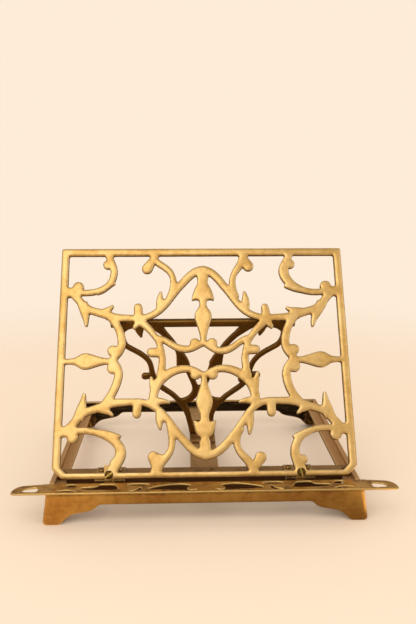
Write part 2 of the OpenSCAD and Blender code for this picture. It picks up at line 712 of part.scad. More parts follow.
// One edge of each finial on the middle line, from the outer scroll to the middle: a bell over a spindle
// above, and a bulb and a tulip under a spindle below
bell_edge = [
  [5, 83], [5, 78], [4.8, 73], [4.2, 68.4], [5.6, 65.8], [8.8, 61.5], [10, 52.4],
  [8, 53.6], [6, 53.6], [4.2, 53.4], [2.9, 52.6], [2.8, 50], [3.2, 47.4],
  [3.8, 44.6], [7.4, 43], [7.4, 38.2], [7.4, 31.5], [2.4, 27.5], [2.1, 12]
];
tulip_edge = [
  [3.9, 83], [3.9, 79], [4.9, 75.5], [4.5, 71.5], [4.3, 69.4], [3.2, 68.4], [3.4, 66.8],
  [5.6, 65.6], [8.6, 62.5], [8.6, 57.5], [8.6, 55.8], [9.4, 53.8], [10.2, 52.4],
  [8.4, 53.2], [6.4, 53.6], [4.6, 54], [3.6, 52.6], [3.3, 51], [3.5, 49.6],
  [3.7, 46], [6.9, 42], [6.9, 37], [6.9, 30], [1.9, 26], [1.9, 12]
];

module frame_ring() {
  h = panel_w / 2;
  i = h - bar_w;
  low = panel_low + low_bar_h;
  top = panel_h - bar_w;
  side = panel_low + corner_cut;
  difference() {
    shape([[corner_cut - h, panel_low], [h - corner_cut, panel_low], [h, side], [h, panel_h], [-h, panel_h],
      [-h, side]]);
    shape([[inner_cut - i, low], [i - inner_cut, low], [i, low + inner_cut], [i, top], [-i, top],
      [-i, low + inner_cut]]);
  }
}

module finial(edge) {
  shape(concat(path(fit(edge)), path(flip(fit(edge)))));
}

module panel_outline() {
  frame_ring();
  translate([0, fret_mid]) {
    both_sides() {
      fret_quarter();
      upside_down() fret_quarter();
      fret_upper();
      upside_down() fret_lower();
      translate([0, -1.4]) shape(concat(path(fit(spindle_edge)), path(under(fit(spindle_edge)))));
    }
    finial(bell_edge);
    upside_down() finial(tulip_edge);
  }
  for (s = [-1, 1]) translate([s * hinge_x, panel_screw_y]) circle(d = boss_d, $fn = round_fn);
}

module back_panel() {
  color("#d9ae5a") difference() {
    on_panel() translate([0, 0, hinge_drop]) linear_extrude(panel_t) panel_outline();
    panel_screw_places() screw_hole(screw_d, panel_t + 1);
    lug_screw_places() screw_hole(lug_screw_d, lug_screw_l + 0.2);
  }
}

// Strut

lug_foot = [lug_x + 8, 6.5];
lug_foot_t = 2;
lug_screw_l = lug_foot_t + 3;

module lug_screw_places() {
  on_panel() for (s = [-1, 1])
    translate([s * lug_foot[0], strut_pivot + lug_foot[1], hinge_drop - lug_foot_t])
      rotate([180, 0, 0]) children();
}

module strut_lug(s) {
  color("#b98f45") difference() {
    on_panel() difference() {
      union() {
        translate([s * (lug_x + lug_t / 2), strut_pivot, axis_z_local]) bar_x(lug_d, -lug_t / 2, lug_t / 2);
        translate([s * (lug_x + lug_t / 2) - lug_t / 2, strut_pivot - lug_d / 2 + 0.2, axis_z_local])
          cube([lug_t, lug_d + 1.8, lug_axis]);
        translate([s * (lug_x + lug_t / 2 + 2) - lug_t / 2 - 2, strut_pivot + 2, hinge_drop - lug_foot_t])
          cube([lug_t + 4, 5, lug_foot_t]);
        translate([s * lug_foot[0], strut_pivot + lug_foot[1], hinge_drop - lug_foot_t])
          cylinder(d = 6.6, h = lug_foot_t, $fn = round_fn);
      }
      translate([s * (lug_x + lug_t / 2), strut_pivot, axis_z_local])
        bar_x(strut_pin_d + 2 * bore_clear, -lug_t, lug_t);
    }
    lug_screw_places() screw_hole(lug_screw_d, lug_screw_l);
  }
}

module left_strut_lug() {
  strut_lug(-1);
}

module right_strut_lug() {
  strut_lug(1);
}

module lug_screws() {
  color("#c9a24e") lug_screw_places() screw(lug_screw_d, lug_screw_l, 4, 1.4);
}

module on_strut() {
  on_panel() translate([0, strut_pivot, axis_z_local]) rotate([strut_angle, 0, 0]) children();
}

function hung(c) = [for (p = c) [p[0] * strut_bar_w / 151, p[1] * strut_len / 125]];

// Openwork of the strut below its top bar, drawn downwards from the axis. It is hand work too, and its middle
// stands off the middle of the bar: in these lists the left side comes before the right one.

strut_outer = [
  [[72.4, 1], [72.8, 10], [72.6, 18], [68.5, 24.2], [62, 29], [53.5, 32.5], [49, 41], [46.2, 47],
    [47.4, 54],
    [44.5, 60.5], [42, 70], [33, 74.5], [28, 79.5], [24.5, 83.5], [22, 87], [20, 90.5]],
  [[72.4, 1], [72.8, 10], [72.8, 18], [68, 23.4], [62, 28.4], [52, 32], [47, 41.5], [43.6, 47.5],
    [43.6, 54],
    [41, 61], [39, 69.5], [31, 73.5], [25.5, 79], [21.5, 82.5], [18.5, 86], [16.6, 89.5]]
];
strut_inner = [
  [[44.5, 0], [40.5, 3.5], [36.5, 8], [33.5, 12], [29.5, 17], [25, 24], [22.5, 29], [20, 34],
    [19, 38], [17.8, 45]],
  [[43, 0], [38, 4], [34, 8], [30, 12], [26, 16], [21, 22], [17.5, 28], [15.5, 33], [13.5, 38], [11.8, 45]]
];
strut_scroll = [
  [[16, 41], [13.5, 50], [11.5, 57], [9.2, 63.5], [6.5, 70], [5.5, 76], [9, 81.5], [12, 86],
    [17, 87.5], [21, 88]],
  [[10.5, 41], [8, 50], [6, 57], [3.7, 63.5], [1, 70], [0, 76], [3.5, 81.5], [6.5, 86],
    [11.5, 87.5], [16, 88]]
];
strut_leg = [
  [[20.5, 87], [17.5, 93], [14.6, 99], [13.4, 106], [12.4, 112], [11, 117], [10, 125]],
  [[17, 86], [13, 91], [9.6, 97], [8.6, 105], [8.2, 111], [8.6, 117], [9, 125]]
];
strut_horn = [[[56, 1], [56.6, 6], [56.2, 10], [54.6, 14.6]], [[52.4, 1], [52.6, 5], [51.8, 9],
  [50.4, 13.4]]];
strut_knob = [[[46, 57.4], [53.2, 57.9]], [[43.4, 57], [50.4, 57.6]]];
strut_bud = [[[41, 66], [36.8, 62.5]], [[39.6, 66], [35.4, 62.6]]];

module strut_half() {
  b = strut_bar_w / 2;
  k = $side > 0 ? 1 : 0;
  stroke(hung(strut_outer[k]), [5.6, 4.4, 4.4, 5, 4.4, 4.8]);
  stroke(hung(strut_leg[k]), [6.8, 5, 4.8]);
  shape([[b, 0], [b - 4, 11], [b - 6, 9], [b - 9.5, 6], [b - 14, 4.6], [b - 22, 3.4], [b - 22, 0]]);
  stroke(hung(strut_horn[k]), [10, 7, 1.6]);
  line_stroke(hung(strut_knob[k])[0], hung(strut_knob[k])[1], [5, 6.4], true);
  line_stroke(hung(strut_bud[k])[0], hung(strut_bud[k])[1], [6, 5], true);
  stroke(hung(strut_inner[k]), [10, 5.4, 4.8, 12.4]);
  stroke(hung(strut_scroll[k]), [6, 4.6, 6.6, 5.6]);
}

// Short tie between the two scrolls in the strut's middle
module strut_tie() {
  line_stroke(hung([[-8, 72]])[0], hung([[3, 72]])[0], [5, 5]);
}

module strut() {
  b = strut_bar_w / 2;
  y0 = foot_y - foot_bar_t / 2;
  y1 = foot_y + foot_bar_t / 2;
  z1 = tooth_z + foot_gap * (1 + tooth_h / tooth_run);
  z0 = z1 + foot_bar_t * tooth_h / tooth_run;
  color("#5f3d10") union() {
    on_strut() difference() {
      union() {
        translate([-b, -strut_bar_h / 2, -strut_bar_t / 2]) cube([2 * b, strut_bar_h, strut_bar_t]);
        translate([0, 0, -strut_t / 2]) linear_extrude(strut_t) upside_down() {
          both_sides() strut_half();
          strut_tie();
        }
      }
      for (s = [-1, 1]) translate([s * b, 0, 0])
        bar_x(strut_pin_d + 2 * bore_clear, -strut_pin_grip, strut_pin_grip);
    }
    translate([-foot_bar_w / 2, 0, 0]) rotate([90, 0, 90]) linear_extrude(foot_bar_w)
      polygon([[y0, z0], [y1, z1], [y1, z1 + 5], [y0 - 0.8, z1 + 7]]);
  }
}

module strut_pins() {
  b = strut_bar_w / 2;
  color("#b8b0a0") on_strut() for (s = [-1, 1]) translate([s * b, 0, 0])
    bar_x(strut_pin_d, s > 0 ? -strut_pin_grip + 0.3 : -lug_t - side_gap - 0.6,
      s > 0 ? lug_t + side_gap + 0.6 : strut_pin_grip - 0.3);
}

front_apron();
rear_apron();
left_side_rail();
right_side_rail();
corner_blocks();
corner_screws();
book_ledge();
ledge_screws();
hinge_crossbar();
crossbar_screws();
toothed_rail();
rail_screws();
left_base_leaf();
right_base_leaf();
leaf_screws();
hinge_pins();
back_panel();
left_panel_leaf();
right_panel_leaf();
panel_screws();
left_strut_lug();
right_strut_lug();
lug_screws();
strut();
strut_pins();
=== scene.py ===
"""Dress of the folding book stand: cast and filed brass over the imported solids, in metres."""

import math

import bmesh
import bpy
import numpy as np
from mathutils import Matrix, Vector, noise


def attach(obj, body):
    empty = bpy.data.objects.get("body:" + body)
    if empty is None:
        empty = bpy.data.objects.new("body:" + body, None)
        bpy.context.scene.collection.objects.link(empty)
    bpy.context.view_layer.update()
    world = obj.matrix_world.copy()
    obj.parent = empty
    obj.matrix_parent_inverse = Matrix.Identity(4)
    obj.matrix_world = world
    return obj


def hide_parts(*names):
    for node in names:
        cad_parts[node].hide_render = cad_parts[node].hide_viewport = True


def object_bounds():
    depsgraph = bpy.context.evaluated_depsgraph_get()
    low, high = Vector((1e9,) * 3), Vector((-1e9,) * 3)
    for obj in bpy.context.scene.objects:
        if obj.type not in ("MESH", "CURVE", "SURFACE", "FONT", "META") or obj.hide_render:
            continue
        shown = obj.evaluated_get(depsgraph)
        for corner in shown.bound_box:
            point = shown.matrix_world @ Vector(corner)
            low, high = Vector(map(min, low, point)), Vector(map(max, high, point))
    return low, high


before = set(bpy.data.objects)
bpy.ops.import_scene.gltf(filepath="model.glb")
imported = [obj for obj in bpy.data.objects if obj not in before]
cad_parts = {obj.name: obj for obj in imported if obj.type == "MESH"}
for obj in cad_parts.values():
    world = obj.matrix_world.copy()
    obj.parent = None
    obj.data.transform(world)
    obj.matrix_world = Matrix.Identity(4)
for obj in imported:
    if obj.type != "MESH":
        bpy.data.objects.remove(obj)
cad_low, cad_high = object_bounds()

MM = 0.001
FACE_UP = Vector((0, 0, 1))

# Axes and slopes, in degrees, of the two pieces that stand at a slant
HINGE_AXIS = Vector((0, -78, 25.3)) * MM
STRUT_AXIS = Vector((0, -11.77, 142.363)) * MM
PANEL_TILT = 60.5
STRUT_LEAN = 109.5


def laid(turn, axis, origin=Vector()):
    """Where a piece stands, seen from the bench: it lies flat with its polished face up."""
    return Matrix.Translation(origin) @ Matrix.Rotation(math.radians(turn), 4, axis)


PANEL_BED = laid(PANEL_TILT, "X", HINGE_AXIS)
STRUT_BED = laid(STRUT_LEAN, "X", STRUT_AXIS)
FRONT_BED = laid(90, "X")
REAR_BED = laid(-90, "X")
LEFT_BED = laid(-90, "Y")
RIGHT_BED = laid(90, "Y")
LEVEL_BED = Matrix.Identity(4)


# Finishes


def shade(code):
    """A colour written as in a paint book, turned into the light values that the shaders use."""
    parts = [int(code[i : i + 2], 16) / 255 for i in (1, 3, 5)]
    return [p / 12.92 if p <= 0.04045 else ((p + 0.055) / 1.055) ** 2.4 for p in parts] + [1.0]


class Amount:
    """What a node gives; sums on numbers add Math nodes to the finish."""

    def __init__(self, finish, socket):
        self.finish = finish
        self.socket = socket

    def sum_with(self, operation, one, two):
        return self.finish.node("ShaderNodeMath", {"operation": operation}, {0: one, 1: two})

    def __add__(self, other):
        return self.sum_with("ADD", self, other)

    def __radd__(self, other):
        return self.sum_with("ADD", other, self)

    def __sub__(self, other):
        return self.sum_with("SUBTRACT", self, other)

    def __rsub__(self, other):
        return self.sum_with("SUBTRACT", other, self)

    def __mul__(self, other):
        return self.sum_with("MULTIPLY", self, other)

    def __rmul__(self, other):
        return self.sum_with("MULTIPLY", other, self)

    def between(self, low, high):
        """0 below low, 1 above high, and a soft step from one to the other."""
        ends = {"Value": self, "From Min": low, "From Max": high}
        return self.finish.node("ShaderNodeMapRange", {"interpolation_type": "SMOOTHSTEP"}, ends)


class Finish:
    """The nodes of one material, or of the sky."""

    def __init__(self, owner, output="ShaderNodeOutputMaterial"):
        owner.use_nodes = True
        self.owner = owner
        self.output = output
        self.tree = owner.node_tree
        self.tree.nodes.clear()

    def node(self, kind, settings=None, sockets=None, out=0):
        made = self.tree.nodes.new(kind)
        for key, value in (settings or {}).items():
            setattr(made, key, value)
        for key, value in (sockets or {}).items():
            if isinstance(value, Amount):
                self.tree.links.new(value.socket, made.inputs[key])
            else:
                made.inputs[key].default_value = value
        return Amount(self, made.outputs[out]) if made.outputs else None

    def place(self):
        return self.node("ShaderNodeTexCoord", None, None, "Object")

    def noise(self, place, scale, detail, rough, bend=0.0):
        sockets = {"Vector": place, "Scale": scale, "Detail": detail, "Roughness": rough, "Distortion": bend}
        return self.node("ShaderNodeTexNoise", None, sockets)

    def stretched(self, place, scale):
        return self.node("ShaderNodeMapping", None, {"Vector": place, "Scale": scale})

    def length(self, place):
        return self.node("ShaderNodeVectorMath", {"operation": "LENGTH"}, {0: place}, "Value")

    def blend(self, amount, one, two):
        return self.node("ShaderNodeMix", {"data_type": "RGBA"}, {0: amount, 6: one, 7: two}, 2)

    def either(self, amount, one, two):
        return self.node("ShaderNodeMixShader", None, {0: amount, 1: one, 2: two})

    def ray(self, kind):
        return self.node("ShaderNodeLightPath", None, None, kind)

    def mark(self, name):
        return self.node("ShaderNodeAttribute", {"attribute_name": name}, None, "Fac")

    def close(self, surface):
        self.node(self.output, None, {"Surface": surface})
        return self.owner


# How fine the patterns on the brass are, per metre: clouds, mottle, grain, pits, and two lies of file marks
CLOUDS = 38
MOTTLE = 190
GRAIN = 1300
PITS = 420.0
ALONG = (45.0, 2200.0, 2200.0)
ACROSS = (2200.0, 45.0, 2200.0)

# How near a wall shades a hollow, how deep full relief is, and how strongly dark grains and file marks show
HOLLOW_REACH = 6 * MM
RELIEF_DEPTH = 0.9 * MM
GRAIN_SHOWS = 0.12
BRIGHT_MARKS = 0.25
DARK_MARKS = 0.12


def aged_brass(name, tones, gloss=0.34, uneven=0.5, skin_and_shade_dark=0.6, brushed=None, dents=1.0):
    """Old brass: uneven tone, darker hollows, stains and painted shade on cast skin, edges worn bright
    with a painted highlight, and fine file marks.

    tones are clean metal, dull metal, stain_and_shade (its stains and painted shade) and rubbed_and_sheen
    (worn edges and painted highlight). gloss is the roughness, uneven how much the stains show on the open
    face, skin_and_shade_dark how dark cast skin and its painted shade are, brushed the lie of the file
    marks, and dents the relief.
    """
    metal, dull, stain_and_shade, rubbed_and_sheen = (shade(code) for code in tones)
    f = Finish(bpy.data.materials.new(name))
    place = f.place()
    clouds = f.noise(place, CLOUDS, 3, 0.5, 0.3)
    mottle = f.noise(place, MOTTLE, 5, 0.6, 0.4)
    grain = f.noise(place, GRAIN, 3, 0.6)
    pits = f.node("ShaderNodeTexVoronoi", None, {"Vector": place, "Scale": PITS}, "Distance")
    wear_and_sheen = f.mark("wear_and_sheen")
    skin = f.mark("cast_skin")
    open_sky = f.node(
        "ShaderNodeAmbientOcclusion", {"samples": 6, "only_local": True}, {"Distance": HOLLOW_REACH}, "AO"
    )

    # Clean and dull metal, with dark grains
    tone = (clouds * 0.6 + mottle * 0.3 + grain * 0.1).between(0.3, 0.7)
    colour = f.blend(tone, dull, metal)
    colour = f.blend((grain - 0.5).between(0.02, 0.22) * GRAIN_SHOWS, colour, stain_and_shade)

    # Stains in spots, darker in hollows and concave corners, and stains with painted shade on cast skin
    spots = (mottle + clouds * 0.6 + grain * 0.15).between(0.96, 0.7) * uneven
    hollow = (1 - open_sky).between(0.25, 0.85) * 0.6
    corner = (0 - wear_and_sheen).between(0.15, 0.9) * 0.3
    dark = (spots * 0.7 + hollow + skin * skin_and_shade_dark + corner).between(0.02, 1.2)
    colour = f.blend(dark, colour, stain_and_shade)

    # Edges worn bright with a painted highlight, and dirt in the pits
    bright = (wear_and_sheen + (grain - 0.5) * 0.4 + (mottle - 0.5) * 0.5).between(0.25, 0.95)
    colour = f.blend(bright * 0.6, colour, rubbed_and_sheen)
    specks = (1 - pits.between(0.02, 0.2)) * (clouds - 0.1).between(0.3, 0.6)
    colour = f.blend(specks * 0.5 * uneven, colour, stain_and_shade)

    rough = gloss + (mottle - 0.5) * 0.2 * uneven + dark * 0.2 - bright * 0.06 + (grain - 0.5) * 0.1
    height = clouds * 0.8 + mottle * 0.26 + grain * 0.05 - specks * 0.1
    if brushed:
        strokes = f.noise(f.stretched(place, brushed), 1.0, 4, 0.7)
        height = height + strokes * 0.2
        rough = rough + (strokes - 0.5) * 0.14
        colour = f.blend((strokes - 0.5).between(0.0, 0.25) * BRIGHT_MARKS, colour, rubbed_and_sheen)
        colour = f.blend((0.5 - strokes).between(0.0, 0.25) * DARK_MARKS, colour, stain_and_shade)
    bump = {"Strength": 0.5 * dents, "Distance": RELIEF_DEPTH, "Height": height}
    relief = f.node("ShaderNodeBump", None, bump)
    metalness = 1 - dark * 0.3
    sockets = {"Base Color": colour, "Metallic": metalness, "Roughness": rough, "Normal": relief}
    return f.close(f.node("ShaderNodeBsdfPrincipled", None, sockets))


# The dark cast skin on the panel's stroke walls is partly painted shade, the dark lines under each stroke
PANEL_FINISH = aged_brass(
    "panel_polish", ("#F0D090", "#E1B86C", "#5E3C10", "#F8E4B4"),
    gloss=0.38, uneven=0.4, skin_and_shade_dark=0.85, dents=1.3,
)
BASE_FINISH = aged_brass(
    "apron_brown", ("#DCB468", "#BC8442", "#5A3810", "#ECCA8C"),
    gloss=0.34, uneven=0.4, skin_and_shade_dark=0.7, brushed=ALONG, dents=0.9,
)
# The rear apron's inner face is painted near black, the shade it stands in; its top stays light
REAR_SHADED_FINISH = aged_brass(
    "rear_apron_painted_shade", ("#CFA860", "#B68A48", "#241505", "#E0BC80"),
    gloss=0.38, uneven=0.4, skin_and_shade_dark=2.0, brushed=ALONG, dents=0.8,
)
RAIL_FINISH = aged_brass(
    "rail_brown", ("#D6B26C", "#BC9252", "#C49A68", "#E8CA98"),
    gloss=0.38, uneven=0.35, skin_and_shade_dark=1.2, brushed=ACROSS, dents=0.8,
)
BAR_FINISH = aged_brass(
    "hinge_bar_dark", ("#B48C54", "#94703E", "#553618", "#D0A870"),
    gloss=0.44, uneven=0.5, skin_and_shade_dark=1.3, brushed=ALONG, dents=0.9,
)
TOOTH_FINISH = aged_brass(
    "tooth_bar_pale", ("#DCB478", "#C29A62", "#5E401E", "#EED2A6"),
    gloss=0.4, uneven=0.4, skin_and_shade_dark=0.45, brushed=ACROSS, dents=0.8,
)
# The ledge's pale worn tone also paints highlights along its edges
LEDGE_FINISH = aged_brass(
    "ledge_brown", ("#DFB262", "#AA7A38", "#3A2008", "#FBDC92"),
    gloss=0.33, uneven=0.85, skin_and_shade_dark=0.5, brushed=ALONG, dents=1.2,
)
# The strut and its lugs are a darker copy of the panel's brass, painted in the shade behind the panel
STRUT_SHADED_FINISH = aged_brass(
    "strut_painted_shade", ("#94703A", "#7E5C2A", "#3E2A0A", "#B08848"), gloss=0.46, uneven=0.4, skin_and_shade_dark=0.5
)
HINGE_FINISH = aged_brass(
    "hinge_pale", ("#C8A468", "#9C7A46", "#4A3416", "#EAD2A0"), gloss=0.3, uneven=0.5, skin_and_shade_dark=1.1
)
SCREW_FINISH = aged_brass(
    "screw_dark", ("#B48E58", "#8C6A3E", "#2E210C", "#D8BA84"), gloss=0.36, uneven=0.7
)
FACE_SCREW_FINISH = aged_brass(
    "face_screw_dark", ("#6E5526", "#4A3714", "#1A1104", "#D9B664"), gloss=0.34, uneven=0.8
)
PIN_FINISH = aged_brass(
    "pin_steel", ("#C9C4B8", "#A59E90", "#5C5142", "#E6E2D8"), gloss=0.24, uneven=0.4
)


# Making pieces

# Points nearer than this are one
WELD = 0.004 * MM


def merged(node):
    """A CAD solid's mesh with its loose triangles joined."""
    bm = bmesh.new()
    bm.from_mesh(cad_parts[node].data)
    bmesh.ops.remove_doubles(bm, verts=bm.verts, dist=WELD)
    return bm


def as_mesh(bm, name):
    mesh = bpy.data.meshes.new(name)
    bm.to_mesh(mesh)
    bm.free()
    return mesh


def show(name, data):
    """Puts a mesh, a lamp or a lens into the scene."""
    shown = bpy.data.objects.new(name, data)
    bpy.context.scene.collection.objects.link(shown)
    return shown


def put_down(mesh, name, finish, body, node):
    """Finishes the piece, hands it to its body and hides the solids that it stands for."""
    mesh.name = name
    mesh.materials.clear()
    mesh.materials.append(finish)
    piece = show(name, mesh)
    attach(piece, body)
    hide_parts(node)
    return piece


# Castings

# Depth of the crowned face, and the waves of hand work, per metre, with their height and their fixed draw
CROWN_DEPTH = 2.4 * MM
WAVES = 55
WAVE_HEIGHT = 0.1 * MM
WAVE_SEED = 4
noise.seed_set(WAVE_SEED)

# How squarely a face must look the polished way to be clean, and how soon it gets dull from there
POLISH_LIMIT = 0.72
POLISH_FADE = 0.6

# A handled back keeps less of its dark skin and painted shade; a bulge of this radius is worn fully bright
# and gets the full painted highlight
HANDLED_BACK = 0.4
WORN_SHEEN_RADIUS = 4 * MM


def cast_skin(bm, grain):
    """An even skin of small square faces over a closed shape, as a casting is one piece all round."""
    pattern_mesh = as_mesh(bm, "pattern")
    pattern = show("pattern", pattern_mesh)
    skin = pattern.modifiers.new("skin", "REMESH")
    skin.mode = "VOXEL"
    skin.voxel_size = grain
    casting = bmesh.new()
    casting.from_object(pattern, bpy.context.evaluated_depsgraph_get())
    bpy.data.objects.remove(pattern)
    bpy.data.meshes.remove(pattern_mesh)
    return casting


def rub(bm, verts, rounds, x=True, y=True, z=True):
    for _ in range(rounds):
        bmesh.ops.smooth_vert(bm, verts=verts, factor=0.5, use_axis_x=x, use_axis_y=y, use_axis_z=z)


def dull_sides(facing):
    """How much cast skin and painted shade a face gets: none where it looks the polished way, all on sides.
    """
    return np.clip((POLISH_LIMIT - facing) / POLISH_FADE, 0, 1)


def mark_wear_sheen_and_shade(mesh, polished, painted_shadow_band):
    """Stores for the finish which spots stand out, rub bright and take a painted highlight, and which
    keep their dark cast skin and painted shade, with a painted shadow band where one is given.
    """
    count = len(mesh.vertices)
    spots = np.empty(count * 3)
    normals = np.empty(count * 3)
    pairs = np.empty(len(mesh.edges) * 2, dtype=np.int32)
    mesh.vertices.foreach_get("co", spots)
    mesh.vertex_normals.foreach_get("vector", normals)
    mesh.edges.foreach_get("vertices", pairs)
    spots, normals = spots.reshape(-1, 3), normals.reshape(-1, 3)
    one, two = pairs.reshape(-1, 2).T
    step = spots[two] - spots[one]
    reach = np.maximum((step**2).sum(1), 1e-12)
    share = np.bincount(one, minlength=count) + np.bincount(two, minlength=count)
    share = np.maximum(share, 1)

    def gathered(at_one, at_two):
        total = np.bincount(one, at_one, minlength=count) + np.bincount(two, at_two, minlength=count)
        return total / share

    bulge = gathered(-(step * normals[one]).sum(1) / reach, (step * normals[two]).sum(1) / reach)
    for _ in range(2):
        bulge = 0.5 * bulge + 0.5 * gathered(bulge[two], bulge[one])
    skin = dull_sides(np.max([normals @ np.array(way) for way in polished], axis=0))
    skin = skin * (1 - HANDLED_BACK * np.clip(-normals[:, 2], 0, 1))
    # Painted shadow: a dark band from the first height to the second, as under the ledge's overhang
    if painted_shadow_band:
        skin = np.maximum(skin, np.clip((spots[:, 1] / MM - painted_shadow_band[0]) / (painted_shadow_band[1] - painted_shadow_band[0]), 0, 1))
    marks = {"wear_and_sheen": np.clip(bulge * WORN_SHEEN_RADIUS, -1, 1), "cast_skin": skin}
    for mark, values in marks.items():
        layer = mesh.attributes.new(mark, "FLOAT", "POINT")
        layer.data.foreach_set("value", values.astype(np.float32))


def round_ends(bm, radius, top):
    """Rounds the two upright corners of an apron, which lies on its back on the bench."""
    rows = {}
    for v in bm.verts:
        row = round(v.co.y / MM)
        rows[row] = max(rows.get(row, 0), abs(v.co.x))
    for v in bm.verts:
        inside = rows[round(v.co.y / MM)] - abs(v.co.x)
        depth = top - v.co.z
        if inside < radius and depth < radius:
            drop = radius - math.sqrt(max(radius**2 - (radius - inside) ** 2, 0))
            v.co.z -= drop * (1 - depth / radius)


def casting(
    name, node, bed, finish, body, slot, grain, crown, soft, full, arris=0.0, painted_shadow_band=None, bright_top=False
):
    """A cast piece: its solid with an even skin, a crowned face, soft edges and the waviness of hand work.

    grain is the size of the skin's faces, crown and soft how many rounds of rubbing the face and all of it
    get, full what the rubbing took off and the casting gets back, arris the rounding of a plate's two ends,
    and painted_shadow_band the heights on the bench where a painted shadow under an overhang starts and
    where it is darkest, kept with the cast skin. bright_top polishes what looks up when the piece stands, so
    it gets no cast skin or painted shade. Lengths are in millimetres.
    """
    bm = merged(node)
    bm.transform(bed.inverted())
    bm = cast_skin(bm, grain * MM)
    top = max(v.co.z for v in bm.verts)
    face = [v for v in bm.verts if v.co.z > top - CROWN_DEPTH]
    rub(bm, face, crown, x=False, y=False)
    if arris:
        round_ends(bm, arris * MM, top)
    for v in bm.verts:
        v.co += noise.noise_vector(v.co * WAVES) * WAVE_HEIGHT
    rub(bm, bm.verts, soft)
    bm.normal_update()
    for v in bm.verts:
        v.co += Vector((v.normal.x, v.normal.y, 0)) * full * MM
    for f in bm.faces:
        f.smooth = True
    mesh = as_mesh(bm, name)
    up = bed.inverted().to_3x3() @ FACE_UP
    mark_wear_sheen_and_shade(mesh, (FACE_UP, up) if bright_top else (FACE_UP,), painted_shadow_band)
    mesh.transform(bed)
    for v in mesh.vertices:
        v.co = [min(max(c, low), high) for c, low, high in zip(v.co, cad_low, cad_high)]
    return put_down(mesh, name, finish, body, node)


# Filed parts

# Faces that bend less than the first angle are one flat; edges sharper than the second are broken
FLAT_ANGLE = math.radians(1)
EDGE_ANGLE = math.radians(30)


def filed(name, node, finish, body, width, polished=None):
    """A plain metal part with its edges broken by a file, worn bright with a painted highlight, and dull,
    with cast skin and painted shade, where it looks away from polished.
    """
    bm = merged(node)
    bmesh.ops.dissolve_limit(bm, angle_limit=FLAT_ANGLE, verts=bm.verts, edges=bm.edges)
    edges = [e for e in bm.edges if e.is_manifold and e.calc_face_angle(0) > EDGE_ANGLE]
    wear_and_sheen = bm.faces.layers.float.new("wear_and_sheen")
    rounded = bmesh.ops.bevel(
        bm,
        geom=edges,
        offset=width * MM,
        segments=3,
        profile=0.5,
        affect="EDGES",
        material=-1,
        clamp_overlap=True,
    )
    # Filed edges: worn bright, and a painted highlight
    for f in rounded["faces"]:
        f[wear_and_sheen] = 1.0
    skin = bm.faces.layers.float.new("cast_skin")
    bm.normal_update()
    for f in bm.faces:
        f.smooth = True
        f[skin] = dull_sides(f.normal.dot(polished)) if polished else 0.0
    piece = put_down(as_mesh(bm, name), name, finish, body, node)
    flats = piece.modifiers.new("flats", "WEIGHTED_NORMAL")
    flats.keep_sharp = True
    return piece


# Screws

# A head's outline from its middle to its seat, as shares of its radius and its rise
DOME = ((0, 1), (0.3, 0.97), (0.58, 0.86), (0.8, 0.68), (0.94, 0.44), (1, 0.2), (1, 0))

# The slot's half width as a share of the head, its floor as a share of the rise, and how bright its walls
# and floor are painted, a painted highlight in the slot
SLOT_HALF = 0.1
SLOT_FLOOR = 0.35
SLOT_WALL_HIGHLIGHT = 0.4
SLOT_FLOOR_HIGHLIGHT = 1.0

# How the slots of a row of screws are turned: the first one, and from each to the next, in degrees
FIRST_TURN = 35
NEXT_TURN = 67

# Edges sharper than this stay crisp, and points this near to a saw cut lie on it
CRISP_ANGLE = math.radians(38)
HAIR = 0.002 * MM

# What counts as the rim of a solid's head, as a share of its radius, and as the end of its shank
HEAD_RIM = 0.95
SHANK_END = 0.1 * MM


def slotted_screw(head, rise, shank, length):
    """A turned screw with a domed head, standing on its shank's axis, with a sawn slot along X."""
    bm = bmesh.new()
    dome = [(x * head / 2, z * rise) for x, z in DOME]
    line = dome + [(shank / 2, 0), (shank / 2, -length), (0, -length)]
    turned = [bm.verts.new((x, 0, z)) for x, z in line]
    edges = [bm.edges.new(pair) for pair in zip(turned, turned[1:])]
    bmesh.ops.spin(
        bm, geom=turned + edges, cent=(0, 0, 0), axis=(0, 0, 1), angle=math.tau, steps=40, use_merge=True
    )
    bmesh.ops.remove_doubles(bm, verts=bm.verts, dist=HAIR)
    saw_slot(bm, SLOT_HALF * head, SLOT_FLOOR * rise)
    bmesh.ops.recalc_face_normals(bm, faces=bm.faces)
    return bm


def saw_slot(bm, half, floor):
    """Cuts a slot of that half width down to that height through a screw's head, and closes its walls."""
    cuts = (((0, half, 0), (0, 1, 0)), ((0, -half, 0), (0, 1, 0)), ((0, 0, floor), (0, 0, 1)))
    for point, normal in cuts:
        whole = bm.verts[:] + bm.edges[:] + bm.faces[:]
        bmesh.ops.bisect_plane(bm, geom=whole, plane_co=point, plane_no=normal)
    middles = {f: f.calc_center_median() for f in bm.faces}
    inside = [f for f, middle in middles.items() if abs(middle.y) < half and middle.z > floor]
    bmesh.ops.delete(bm, geom=inside, context="FACES")
    rim = [e for e in bm.edges if e.is_boundary]
    corners = {
        v for e in rim for v in e.verts if abs(abs(v.co.y) - half) < HAIR and abs(v.co.z - floor) < HAIR
    }
    sills = []
    # The slot's walls and floor are marked bright: a painted highlight in the slot
    wear_and_sheen = bm.faces.layers.float.new("wear_and_sheen")
    for side in (-1, 1):
        pair = [v for v in corners if v.co.y * side > 0]
        sill = bm.edges.new(pair)
        wall = [e for e in rim if all(abs(v.co.y - side * half) < HAIR for v in e.verts)]
        for f in bmesh.ops.contextual_create(bm, geom=wall + [sill])["faces"]:
            f[wear_and_sheen] = SLOT_WALL_HIGHLIGHT
        sills.append(sill)
    foot = [e for e in rim if all(abs(v.co.z - floor) < HAIR for v in e.verts)]
    for f in bmesh.ops.contextual_create(bm, geom=foot + sills)["faces"]:
        f[wear_and_sheen] = SLOT_FLOOR_HIGHLIGHT


